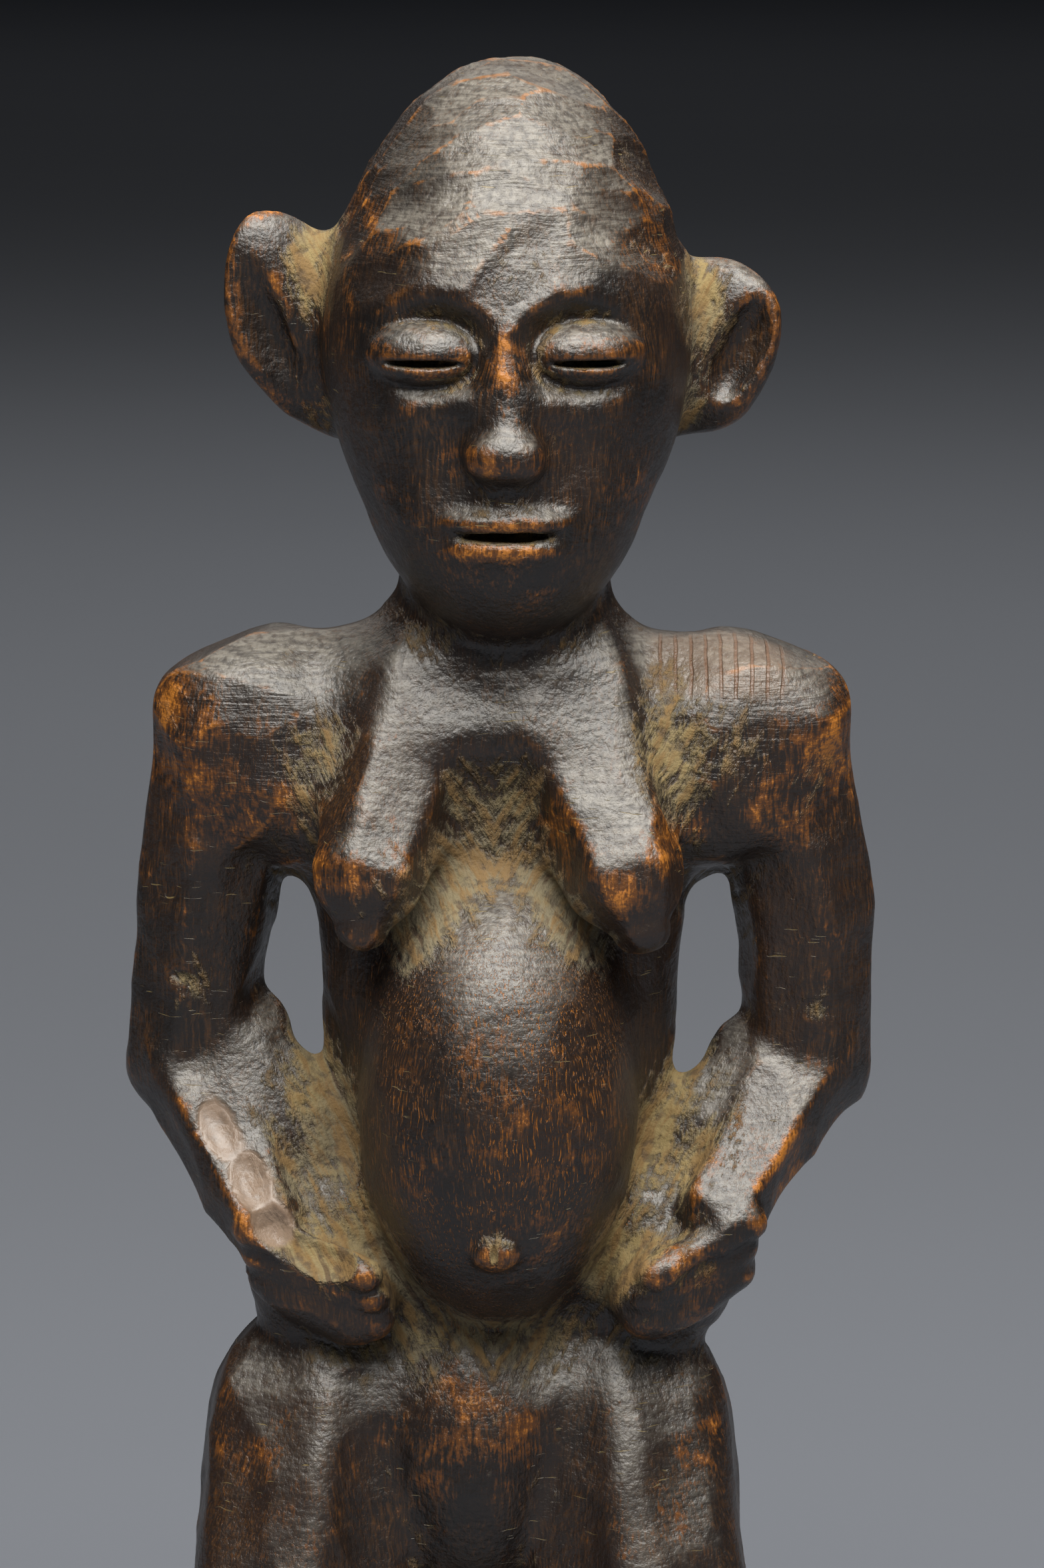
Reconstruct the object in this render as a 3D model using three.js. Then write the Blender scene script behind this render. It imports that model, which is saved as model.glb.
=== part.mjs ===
// A carved wooden standing figure, hands on a round belly, on a low round base cut from the same block.
// Millimetres, +Z up, facing -Y. The origin is the centre of the base's underside.
// The whole figure is one implicit form: limbs and eggs that blend into each other as carved wood does.
// It is meshed on a grid with marching cubes, and then thinned by collapsing the edges that matter least.
import * as THREE from "three";
import { triTable } from "three/addons/objects/MarchingCubes.js";

// Driving dimensions
const HEIGHT = 260; // underside of the base to the crown
const CHIN_Z = 188;
const HEAD_X = 3; // the head stands a little to the right of the base's centre
const BASE = { halfWidth: 42, halfDepth: 38, height: 13, edge: 2.5 };
const GRID = 1.55; // cell of the marching grid
const TRIANGLES = 9600; // what the thinned mesh keeps
const BOX = { low: [-50, -46, -4], high: [54, 42, 265] }; // holds the figure with room to spare
const WORN = 10; // how crisp the edges between hewn flats are: the higher, the sharper
const FLATS = 5; // flat sides of a hewn limb
const ARM = { shoulder: 10, middle: 8.5, lower: 8.1, elbow: 7.3, wrist: 5.2 }; // radii
const FINGER = { count: 3, root: 2.7, tip: 2.3, step: [-0.7, -1.1, 3.3] }; // step: to the next one up, at -X
const BREAST = { root: 10.4, full: 6.8, tip: 3.4 };
const LEG = { thigh: 13.5, knee: 12.5, calf: 10.5, ankle: 8, heel: 7.5, toe: 6 }; // radii
const HEEL = { y: 7, z: 16.5 };

// How many millimetres each form takes to run into the rest of the figure
const SOFT = {
  trunk: 9, hips: 8, blade: 6, spine: 6, belly: 4, collar: 5, pelvis: 4, leg: 3.5, lowerBelly: 3, groin: 5,
  upperWeb: 3, lowerWeb: 4, handWeb: 4, crook: 3, block: 6, bones: 2, hand: 1.5, fingers: 1.4,
  plate: 3, breast: 3.5, pectoral: 4, navel: 1.5, skull: 9, neck: 5, head: 6, base: 2.5, flats: 1.5,
};

// The face is laid out on the usual proportions of a head: three and a half units from chin to crown.
const UNIT = (HEIGHT - CHIN_Z) / 3.5;
const FACE = {
  eyeZ: (HEIGHT + CHIN_Z) / 2,
  browZ: CHIN_Z + 2 * UNIT,
  noseZ: CHIN_Z + UNIT,
  mouthZ: CHIN_Z + (2 / 3) * UNIT,
  eyeWidth: 9.6,
  y: -22, // the plane of the cheeks
};

const clamp = (value, low, high) => Math.min(Math.max(value, low), high);
const radians = THREE.MathUtils.degToRad;
const vector = ([x, y, z]) => new THREE.Vector3(x, y, z);

// A round limb from one point to another, with a radius at each end.
function limb([ax, ay, az], [bx, by, bz], ra, rb) {
  const dx = bx - ax, dy = by - ay, dz = bz - az;
  const squared = dx * dx + dy * dy + dz * dz;
  return (x, y, z) => {
    const px = x - ax, py = y - ay, pz = z - az;
    const t = clamp((px * dx + py * dy + pz * dz) / squared, 0, 1);
    const qx = px - t * dx, qy = py - t * dy, qz = pz - t * dz;
    return Math.sqrt(qx * qx + qy * qy + qz * qz) - (ra + (rb - ra) * t);
  };
}

// A limb hewn to flat sides along its length. The middle of one side looks along `facing`.
function hewn(a, b, ra, rb, facing, sides = FLATS) {
  const along = vector(b).sub(vector(a));
  const length = along.length();
  along.normalize();
  const across = vector(facing).projectOnPlane(along).normalize();
  const flats = Array.from({ length: sides }, (_, n) =>
    across.clone().applyAxisAngle(along, (n * 2 * Math.PI) / sides),
  );
  return (x, y, z) => {
    const px = x - a[0], py = y - a[1], pz = z - a[2];
    const reach = px * along.x + py * along.y + pz * along.z;
    const t = clamp(reach / length, 0, 1);
    let sum = 0;
    for (const flat of flats) sum += Math.max(px * flat.x + py * flat.y + pz * flat.z, 0) ** WORN;
    const beyond = reach - t * length;
    return Math.hypot(sum ** (1 / WORN), beyond) - (ra + (rb - ra) * t);
  };
}

// An ellipsoid, turned by degrees about X, Y and Z in that order. A power above 2 squares it off.
function egg([cx, cy, cz], [rx, ry, rz], turn = [0, 0, 0], power = 2) {
  const matrix = new THREE.Matrix4().makeRotationFromEuler(new THREE.Euler(...turn.map(radians), "ZYX"));
  const m = matrix.elements;
  return (x, y, z) => {
    const px = x - cx, py = y - cy, pz = z - cz;
    const ux = Math.abs(m[0] * px + m[1] * py + m[2] * pz) / rx;
    const uy = Math.abs(m[4] * px + m[5] * py + m[6] * pz) / ry;
    const uz = Math.abs(m[8] * px + m[9] * py + m[10] * pz) / rz;
    const near = (ux ** power + uy ** power + uz ** power) ** (1 / power);
    if (near === 0) return -Math.min(rx, ry, rz);
    const gx = (ux / near) ** (power - 1) / rx;
    const gy = (uy / near) ** (power - 1) / ry;
    const gz = (uz / near) ** (power - 1) / rz;
    return (near - 1) / Math.sqrt(gx * gx + gy * gy + gz * gz);
  };
}

// A low oval disc with rounded edges, its underside on z = 0.
function disc({ halfWidth, halfDepth, height, edge }) {
  return (x, y, z) => {
    const ux = x / halfWidth, uy = y / halfDepth;
    const out = (Math.sqrt(ux * ux + uy * uy) - 1) * Math.min(halfWidth, halfDepth) + edge;
    const up = Math.abs(z - height / 2) - height / 2 + edge;
    const corner = Math.sqrt(Math.max(out, 0) ** 2 + Math.max(up, 0) ** 2);
    return corner + Math.min(Math.max(out, up), 0) - edge;
  };
}

// Forms run into each other over about `soft` mm, and a cut leaves an edge of about that width.
function join(soft, a, b) {
  const h = Math.max(soft - Math.abs(a - b), 0) / soft;
  return Math.min(a, b) - (h * h * soft) / 4;
}
const cut = (soft, body, tool) => -join(soft, -body, tool);
const joined = (soft, shapes) => (x, y, z) =>
  shapes.map((form) => form(x, y, z)).reduce((a, b) => join(soft, a, b));

const chest = egg([2.2, 4, 164], [26, 13, 25]);
const yoke = limb([-25, 4, 176.5], [30, 4, 176], 10, 10);
const waist = egg([2.1, 3, 138], [22.9, 12.5, 34]);
const loins = egg([-0.5, 2.5, 104], [23, 12.5, 16]);
const trunk = joined(SOFT.trunk, [chest, yoke, waist, loins]);
const belly = egg([1.8, -8, 127.5], [18, 20.5, 29]);
const collar = egg([1.2, -2.5, 180], [12, 7.8, 7], [-35, 0, 0]);
const blades = [egg([-13, 10, 165], [12, 8.5, 15]), egg([18, 10, 165], [12, 8.5, 15])];
const spine = limb([2.4, 22.5, 176], [0, 18.5, 104], 3.6, 3.6);

const hips = egg([-2, 4, 86], [28, 16, 14]);
const buttocks = [egg([-16, 11, 83], [15.5, 13, 16]), egg([12, 11, 83], [15, 13, 16])];
const pelvis = joined(SOFT.hips, [hips, ...buttocks]);

const skull = joined(SOFT.skull, [
  egg([HEAD_X + 0.3, 3, 227.5], [23.2, 26.5, 27]),
  egg([HEAD_X + 0.6, 3, 243.5], [13.6, 16.5, 15.5]),
  egg([HEAD_X, -5, 216], [19.8, 19.2, 25]),
  egg([HEAD_X, -9.5, 201], [12.5, 14.5, 13.3]),
]);
const neck = limb([HEAD_X, 6, 208], [2.5, 5, 172], 12.6, 15);

// Closed, almond-shaped lids rest in shallow sockets. A thin slit parts the upper from the lower lid.
function eyeOf(side) {
  const x = HEAD_X + side * FACE.eyeWidth;
  const { eyeZ, noseZ, y } = FACE;
  const slant = [0, 0, side * 14];
  return {
    socket: egg([x + side * 0.6, y - 3.4, eyeZ + 0.6], [9.6, 7, 6.6], slant),
    lid: egg([x + side * 0.4, y + 3.6, eyeZ - 0.2], [7.4, 5.6, 4.3], slant),
    slit: egg([x + side * 0.4, y - 2.4, eyeZ - 1.1], [6.6, 3.4, 0.55], slant),
    cheek: egg([HEAD_X + side * 8.2, y - 4.2, noseZ + 1], [4.6, 3.6, 8], [0, side * 14, 0]),
  };
}
const eyes = [eyeOf(-1), eyeOf(1)];
const nose = joined(1.5, [
  limb([HEAD_X, FACE.y + 1.6, FACE.browZ - 1], [HEAD_X, FACE.y - 3, FACE.noseZ + 4.5], 2.5, 2.8),
  egg([HEAD_X, FACE.y - 2.4, FACE.noseZ + 3], [5, 4.6, 3.3], [0, 0, 0], 2.4),
]);
const lips = joined(0.5, [
  egg([HEAD_X, FACE.y + 0.4, FACE.mouthZ + 1.7], [8, 4.4, 2]),
  egg([HEAD_X, FACE.y + 0.8, FACE.mouthZ - 1.8], [7, 4.2, 2.1]),
]);
const mouthLine = egg([HEAD_X, FACE.y - 3.2, FACE.mouthZ], [7.2, 4, 0.6]);

// The two ears stick out unevenly: the one on -X is the longer.
function earOf(side, x, z, halfHeight, lean, power, hollow) {
  const turn = [0, side * lean, side * -24];
  return {
    root: egg([x - side * 5, 6, z - 2], [6, 4.5, halfHeight - 3]),
    shell: egg([x, 4.5, z], [9.4, 4, halfHeight], turn, power),
    hollow: egg([x + side * 4.6, -1, z + 0.5], [3, hollow, halfHeight - 4.2], turn),
  };
}
const ears = [earOf(-1, -23.3, 225.6, 15.2, 24, 1.75, 2.4), earOf(1, 28.3, 222.4, 11.6, 27, 2.3, 2.9)];

function head(x, y, z) {
  let d = skull(x, y, z);
  if (y < 2 && z < FACE.browZ + 14) {
    for (const eye of eyes) d = cut(2.5, d, eye.socket(x, y, z));
    for (const eye of eyes) d = cut(4, d, eye.cheek(x, y, z));
    for (const eye of eyes) d = join(0.8, d, eye.lid(x, y, z));
    for (const eye of eyes) d = cut(0.5, d, eye.slit(x, y, z));
    d = join(2, d, nose(x, y, z));
    d = cut(0.5, join(1.4, d, lips(x, y, z)), mouthLine(x, y, z));
  }
  for (const ear of ears) {
    d = join(4, d, ear.root(x, y, z));
    d = join(2.5, d, ear.shell(x, y, z));
    d = cut(1.5, d, ear.hollow(x, y, z));
  }
  return join(SOFT.neck, d, neck(x, y, z));
}

// The breasts hang from one sloping plate below the collar. Each is a strap hewn flat in front, and
// ends in a blunt point.
const plate = egg([1.8, -3.9, 175.3], [14, 8.6, 8.6], [-38, 0, 0], 3.2);
function breastOf(flats, facing, top, full, tip) {
  const strap = hewn(top, full, BREAST.root, BREAST.full, facing, flats);
  const end = hewn(full, tip, BREAST.full - 0.2, BREAST.tip, facing, flats);
  return joined(SOFT.flats, [strap, end]);
}
const breasts = [
  breastOf(6, [0.25, -1, 0.5], [-8.6, -1.8, 176], [-14.4, -15.6, 158.0], [-15.2, -17.6, 151.8]),
  breastOf(5, [0.05, -1, 0.55], [11.0, -1.8, 176], [18.0, -15.6, 158.0], [20.0, -17.6, 151.6]),
];

// An arm is hewn from a squared shoulder. Its forearm turns a flat side up and forward, and the hand
// lies on the belly's flank: a block with its fingers along the front. Webs of wood are left standing
// between the arm and the body, above and below the gap.
function armOf({ shoulder, middle, elbow, wrist, crookZ, palm, fingerRoot, fingerTip }) {
  const side = Math.sign(wrist[0]);
  const finger = (n) => {
    const shift = FINGER.step.map((c, i) => (i === 0 ? -side * c * n : c * n));
    const ends = [fingerRoot, fingerTip].map((end) => end.map((c, i) => c + shift[i]));
    return limb(...ends, FINGER.root, FINGER.tip);
  };
  return {
    block: egg(
      [shoulder[0] - side * 1.2, shoulder[1] - 2.2, shoulder[2] - 2.2],
      [10.4, 9.8, 12.8],
      [-3, side * 20, 0],
      2.8,
    ),
    bones: joined(SOFT.flats, [
      hewn(shoulder, middle, ARM.shoulder, ARM.middle, [side, -1, 0], FLATS + 1),
      hewn(middle, elbow, ARM.middle, ARM.lower, [side, -1, 0], FLATS + 1),
      hewn(elbow, wrist, ARM.elbow, ARM.wrist, [0, -1, 0.8]),
    ]),
    hand: egg(palm, [10, 5, 6], [0, side * -28, side * 15], 2.6),
    fingers: joined(0.5, Array.from({ length: FINGER.count }, (_, n) => finger(n))),
    crook: egg([elbow[0] - side * 6.5, 4.5, crookZ], [6.5, 6, 9], [0, side * -20, 0]),
    pectoral: egg([shoulder[0] - side * 11, 0, 168], [10, 8.4, 12], [0, 0, 0], 2.6),
    upperWeb: egg([shoulder[0] - side * 9, 8.5, 163], [7, 5, 10]),
    lowerWeb: egg([wrist[0] - side * 1.5, 1.5, crookZ - 11.5], [10, 7, 15.5], [0, side * 20, 0]),
    handWeb: egg([wrist[0] - side * 8, -2, 105], [11, 8.5, 12]),
  };
}
const arms = [
  armOf({
    shoulder: [-31.6, 4, 174.3],
    middle: [-35.9, 5, 150],
    elbow: [-38.2, 6, 130],
    wrist: [-28.2, -8.5, 112],
    crookZ: 131,
    palm: [-20.5, -9.5, 103.5],
    fingerRoot: [-28.2, -9.5, 104.5],
    fingerTip: [-13.5, -13.2, 99.6],
  }),
  armOf({
    shoulder: [36.9, 4, 173.8],
    middle: [41.5, 5, 150],
    elbow: [42.2, 6, 130],
    wrist: [30.4, -8.5, 113],
    crookZ: 127,
    palm: [25.5, -9.5, 104.5],
    fingerRoot: [32.2, -9.5, 105.5],
    fingerTip: [20.5, -13.2, 99.6],
  }),
];

// The order in which an arm's forms are joined on
const ARM_PARTS = [
  "pectoral", "upperWeb", "lowerWeb", "handWeb", "crook", "block", "bones", "hand", "fingers",
];

// Short bent legs: the knees come forward, the feet stand flat on the base.
function legOf({ hip, knee, calf, ankle, toe, hipRadius }) {
  const facing = [Math.sign(hip[0]) * 0.5, -1, 0];
  return joined(3, [
    hewn(hip, knee, hipRadius, LEG.thigh, facing, FLATS + 1),
    limb(knee, calf, LEG.knee, LEG.calf),
    limb(calf, ankle, LEG.calf, LEG.ankle),
    limb([ankle[0], HEEL.y, HEEL.z], toe, LEG.heel, LEG.toe),
  ]);
}
const legs = [
  legOf({
    hip: [-20.3, 2.5, 82],
    knee: [-25.5, -10, 53],
    calf: [-23.5, 1, 36],
    ankle: [-22.5, 5, 20],
    toe: [-25, -20, 14.5],
    hipRadius: 16,
  }),
  legOf({
    hip: [17.5, 2.5, 82],
    knee: [21.6, -10, 53],
    calf: [19.5, 1, 36],
    ankle: [19, 5, 20],
    toe: [21.5, -20, 14.5],
    hipRadius: 15.3,
  }),
];
const lowerBelly = egg([-1.5, -5.5, 80.5], [11.5, 10.5, 18.5]);
const groins = [
  limb([-16, -16, 94], [-12.8, -21, 62], 2.6, 3.4),
  limb([11.5, -16, 94], [9.4, -21, 62], 2.6, 3.4),
];
const navel = egg([1.8, -25, 111.5], [3, 2.4, 2.5]);
const base = disc(BASE);

// The whole figure: negative inside the wood, positive outside, in mm.
function figure(x, y, z) {
  let d = trunk(x, y, z);
  for (const blade of blades) d = join(SOFT.blade, d, blade(x, y, z));
  d = cut(SOFT.spine, d, spine(x, y, z));
  d = join(SOFT.belly, d, belly(x, y, z));
  d = join(SOFT.collar, d, collar(x, y, z));
  d = join(SOFT.pelvis, d, pelvis(x, y, z));
  for (const leg of legs) d = join(SOFT.leg, d, leg(x, y, z));
  d = join(SOFT.lowerBelly, d, lowerBelly(x, y, z));
  for (const groin of groins) d = cut(SOFT.groin, d, groin(x, y, z));
  for (const arm of arms)
    for (const name of ARM_PARTS) d = join(SOFT[name], d, arm[name](x, y, z));
  d = join(SOFT.plate, d, plate(x, y, z));
  for (const breast of breasts) d = join(SOFT.breast, d, breast(x, y, z));
  d = join(SOFT.navel, d, navel(x, y, z));
  d = join(SOFT.head, d, head(x, y, z));
  return join(SOFT.base, d, base(x, y, z));
}

// Marching cubes: the corners of a cell, and the two corners of each of its twelve edges.
const CORNERS = [[0, 0, 0], [1, 0, 0], [1, 1, 0], [0, 1, 0], [0, 0, 1], [1, 0, 1], [1, 1, 1], [0, 1, 1]];
const EDGES = [
  [0, 1], [1, 2], [2, 3], [3, 0], [4, 5], [5, 6], [6, 7], [7, 4], [0, 4], [1, 5], [2, 6], [3, 7],
];

function march(field, { low, high }, step) {
  const counts = low.map((l, i) => Math.ceil((high[i] - l) / step) + 1);
  const [nx, ny, nz] = counts;
  const place = (i, j, k) => [low[0] + i * step, low[1] + j * step, low[2] + k * step];
  const values = new Float64Array(nx * ny * nz);
  for (let k = 0; k < nz; k++)
    for (let j = 0; j < ny; j++)
      for (let i = 0; i < nx; i++) values[i + nx * (j + ny * k)] = field(...place(i, j, k));
  const points = [];
  const triangles = [];
  const known = new Map();
  const pointOn = (from, to) => {
    const a = from[0] + nx * (from[1] + ny * from[2]);
    const b = to[0] + nx * (to[1] + ny * to[2]);
    const key = a < b ? a * values.length + b : b * values.length + a;
    if (!known.has(key)) {
      const t = clamp(values[a] / (values[a] - values[b]), 0.02, 0.98);
      const p = place(...from), q = place(...to);
      known.set(key, points.length);
      points.push(p.map((c, i) => c + (q[i] - c) * t));
    }
    return known.get(key);
  };
  for (let k = 0; k < nz - 1; k++)
    for (let j = 0; j < ny - 1; j++)
      for (let i = 0; i < nx - 1; i++) {
        const corners = CORNERS.map(([x, y, z]) => [i + x, j + y, k + z]);
        let code = 0;
        corners.forEach(([x, y, z], n) => {
          if (values[x + nx * (y + ny * z)] < 0) code |= 1 << n;
        });
        for (let n = code * 16; triTable[n] >= 0; n += 3)
          triangles.push([0, 2, 1].map((m) => pointOn(...EDGES[triTable[n + m]].map((c) => corners[c]))));
      }
  return { points, triangles };
}

// Thins a closed mesh: the edge whose loss bends the surface least goes first, measured with plane quadrics.
// Each vertex carries the ten different numbers of the sum of its triangles' squared plane distances.
function planeQuadric(p, q, r) {
  const normal = new THREE.Vector3().crossVectors(q.clone().sub(p), r.clone().sub(p));
  const area = normal.length() / 2;
  normal.normalize();
  const plane = [normal.x, normal.y, normal.z, -normal.dot(p)];
  const sums = [];
  for (let i = 0; i < 4; i++) for (let j = i; j < 4; j++) sums.push(area * plane[i] * plane[j]);
  return sums;
}

function bendAt(q, { x, y, z }) {
  return (
    q[0] * x * x + 2 * q[1] * x * y + 2 * q[2] * x * z + 2 * q[3] * x +
    q[4] * y * y + 2 * q[5] * y * z + 2 * q[6] * y + q[7] * z * z + 2 * q[8] * z + q[9]
  );
}

// The point where two merged vertices bend the surface least, or their middle where that point is far off.
function bestPoint(q, a, b) {
  const middle = a.clone().add(b).multiplyScalar(0.5);
  const matrix = new THREE.Matrix3().set(q[0], q[1], q[2], q[1], q[4], q[5], q[2], q[5], q[7]);
  const size = q[0] + q[4] + q[7];
  if (Math.abs(matrix.determinant()) < FLATTEST * size ** 3) return middle;
  const best = new THREE.Vector3(-q[3], -q[6], -q[8]).applyMatrix3(matrix.invert());
  return best.distanceTo(middle) < a.distanceTo(b) ? best : middle;
}

// A heap of [cost, ...] entries with the least cost on top.
class Heap {
  items = [];
  push(item) {
    const list = this.items;
    let i = list.push(item) - 1;
    while (i > 0) {
      const up = (i - 1) >> 1;
      if (list[up][0] <= item[0]) break;
      list[i] = list[up];
      i = up;
    }
    list[i] = item;
  }
  pop() {
    const list = this.items;
    const top = list[0];
    const last = list.pop();
    if (!list.length) return top;
    let i = 0;
    for (;;) {
      let down = 2 * i + 1;
      if (down >= list.length) break;
      if (down + 1 < list.length && list[down + 1][0] < list[down][0]) down++;
      if (list[down][0] >= last[0]) break;
      list[i] = list[down];
      i = down;
    }
    list[i] = last;
    return top;
  }
}

const THINNEST = 0.06; // least height over longest side that a new triangle may have
const FLATTEST = 1e-4; // below this a quadric is too flat to have a best point
const EVENNESS = 1e-3; // how much a long edge counts against its loss
const STEEPEST = 0.3; // cosine of the most that a triangle may turn when a corner moves

function thin({ points, triangles }, wanted) {
  const place = points.map((p) => new THREE.Vector3(...p));
  const faces = triangles.map((t) => [...t]);
  const around = place.map(() => new Set());
  const quadric = place.map(() => new Array(10).fill(0));
  faces.forEach((face, n) => {
    const plane = planeQuadric(...face.map((v) => place[v]));
    for (const v of face) {
      around[v].add(n);
      plane.forEach((value, i) => (quadric[v][i] += value));
    }
  });
  const version = new Uint32Array(place.length);
  const heap = new Heap();
  const neighbours = (v) => {
    const found = new Set();
    for (const n of around[v]) for (const w of faces[n]) found.add(w);
    found.delete(v);
    return found;
  };
  const offer = (a, b) => {
    const sum = quadric[a].map((value, i) => value + quadric[b][i]);
    const point = bestPoint(sum, place[a], place[b]);
    const evenness = EVENNESS * place[a].distanceToSquared(place[b]);
    heap.push([bendAt(sum, point) + evenness, a, b, version[a], version[b], point, sum]);
  };
  // A triangle may not turn over or become a sliver when one of its corners moves.
  const spoils = (face, moved, point) => {
    const now = face.map((v) => place[v]);
    const then = face.map((v) => (moved.includes(v) ? point : place[v]));
    const normal = ([p, q, r]) => new THREE.Vector3().crossVectors(q.clone().sub(p), r.clone().sub(p));
    const before = normal(now), after = normal(then);
    const longest = Math.max(...then.map((p, i) => p.distanceToSquared(then[(i + 1) % 3])));
    const turns = before.dot(after) < STEEPEST * before.length() * after.length();
    return turns || after.length() < THINNEST * longest;
  };
  place.forEach((_, v) => neighbours(v).forEach((w) => v < w && offer(v, w)));
  let left = faces.length;
  while (left > wanted && heap.items.length) {
    const [, a, b, versionA, versionB, point, sum] = heap.pop();
    if (versionA !== version[a] || versionB !== version[b]) continue;
    const nearB = neighbours(b);
    if ([...neighbours(a)].filter((v) => nearB.has(v)).length !== 2) continue;
    const shared = [...around[a]].filter((n) => around[b].has(n));
    const rest = [...around[a], ...around[b]].filter((n) => !shared.includes(n));
    if (rest.some((n) => spoils(faces[n], [a, b], point))) continue;
    for (const n of shared) for (const v of faces[n]) around[v].delete(n);
    for (const n of around[b]) {
      faces[n] = faces[n].map((v) => (v === b ? a : v));
      around[a].add(n);
    }
    around[b].clear();
    place[a] = point;
    quadric[a] = sum;
    version[a]++;
    version[b]++;
    left -= shared.length;
    neighbours(a).forEach((v) => offer(a, v));
  }
  const kept = faces.filter((face, n) => around[face[0]].has(n));
  return { place, kept };
}

// Only the vertices still in use go into the geometry. Nothing dips under the floor.
function geometryOf({ place, kept }) {
  const corner = ({ x, y, z }) => [x, y, Math.max(z, 0)];
  const flat = kept.flatMap((face) => face.flatMap((v) => corner(place[v])));
  return new THREE.BufferGeometry().setAttribute("position", new THREE.Float32BufferAttribute(flat, 3));
}

const wood = new THREE.MeshStandardMaterial({ color: 0x2a160c, roughness: 0.42, metalness: 0 });
const mesh = new THREE.Mesh(geometryOf(thin(march(figure, BOX, GRID), TRIANGLES)), wood);
mesh.name = "figure";

const group = new THREE.Group();
group.add(mesh);
export default group;
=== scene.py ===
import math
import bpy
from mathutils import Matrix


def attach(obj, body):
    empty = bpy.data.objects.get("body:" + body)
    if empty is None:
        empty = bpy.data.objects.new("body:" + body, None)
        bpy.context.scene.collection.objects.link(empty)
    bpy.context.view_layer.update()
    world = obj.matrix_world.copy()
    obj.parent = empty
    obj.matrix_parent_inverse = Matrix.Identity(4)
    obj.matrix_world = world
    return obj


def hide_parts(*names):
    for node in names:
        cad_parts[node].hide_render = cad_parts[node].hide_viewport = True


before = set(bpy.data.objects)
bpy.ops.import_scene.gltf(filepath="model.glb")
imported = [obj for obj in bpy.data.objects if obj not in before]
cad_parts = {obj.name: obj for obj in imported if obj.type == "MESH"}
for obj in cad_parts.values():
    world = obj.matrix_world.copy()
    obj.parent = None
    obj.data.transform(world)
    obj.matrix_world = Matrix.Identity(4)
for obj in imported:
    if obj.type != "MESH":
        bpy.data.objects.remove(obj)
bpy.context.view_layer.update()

# The carved figure as one piece: the forms of the solid on a finer grid, with knife facets, nicks and
# wear as relief, and an old wood patina as its material. Forms are in mm, the scene is in metres.
from types import SimpleNamespace

import bpy
import numpy as np
import openvdb
from mathutils import Vector

MM = 0.001
SEED = 20

# Driving dimensions, the same as the solid's
HEIGHT = 260.0
CHIN_Z = 188.0
HEAD_X = 3.0
BASE_HALF_WIDTH, BASE_HALF_DEPTH, BASE_HEIGHT, BASE_EDGE = 42.0, 38.0, 13.0, 2.5
WORN = 10
FLATS = 5
ARM = {"shoulder": 10, "middle": 8.5, "lower": 8.1, "elbow": 7.3, "wrist": 5.2}
FINGER = {"count": 3, "root": 2.7, "tip": 2.3, "step": (-0.7, -1.1, 3.3)}
BREAST = {"root": 10.4, "full": 6.8, "tip": 3.4}
LEG = {"thigh": 13.5, "knee": 12.5, "calf": 10.5, "ankle": 8, "heel": 7.5, "toe": 6}
HEEL_Y, HEEL_Z = 7, 16.5
UNIT = (HEIGHT - CHIN_Z) / 3.5
EYE_Z = (HEIGHT + CHIN_Z) / 2
BROW_Z = CHIN_Z + 2 * UNIT
NOSE_Z = CHIN_Z + UNIT
MOUTH_Z = CHIN_Z + UNIT * 2 / 3
EYE_WIDTH = 9.6
FACE_Y = -22.0

# How many millimetres each form takes to run into the rest of the figure
SOFT = {
    "trunk": 9, "hips": 8, "blade": 6, "spine": 6, "belly": 4, "collar": 5, "pelvis": 4, "leg": 3.5,
    "lower_belly": 3, "groin": 5, "upper_web": 3, "lower_web": 4, "hand_web": 4, "crook": 3, "block": 6,
    "bones": 2, "hand": 1.5, "fingers": 1.4, "plate": 3, "breast": 3.5, "pectoral": 4, "navel": 1.5,
    "skull": 9, "neck": 5, "head": 6, "base": 2.5, "flats": 1.5, "finger": 0.5, "leg_bones": 3,
    "socket": 2.5, "cheek": 4, "lid": 0.8, "slit": 0.5, "bridge": 1.5, "nose": 2, "lip": 0.5, "lips": 1.4,
    "mouth_line": 0.5, "ear_root": 4, "ear_shell": 2.5, "ear_hollow": 1.5,
}
# The face's forms change nothing behind this y, further above the brows or further from the skull
FACE_BACK_Y, FACE_ABOVE_BROW, FACE_NEAR = 2, 14, 12
SMALLEST = 1e-6  # keeps a division from being by nothing

# The grid and the mesh
GRID_LOW = np.array([-50.0, -42.0, -4.0])
GRID_HIGH = np.array([54.0, 42.0, 264.0])
FINE = 0.5
COARSE_CELLS = 4  # fine cells in a coarse one
BAND = 1.6  # how far from the surface the fine grid is worked out
FAR = 99.0
KEEP_TRIANGLES = 190_000


def vec(*c):
    return np.array(c, dtype=np.float32)


def unit(v):
    return v / np.linalg.norm(v)


def length(q):
    return np.sqrt(np.einsum("ij,ij->i", q, q))


def limb(a, b, ra, rb):
    """A round limb from a to b, with a radius at each end."""
    a, d = vec(*a), vec(*b) - vec(*a)
    squared = float(d @ d)

    def field(p):
        q = p - a
        t = np.clip(q @ d / squared, 0, 1)
        return length(q - t[:, None] * d) - (ra + (rb - ra) * t)

    return field


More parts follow.
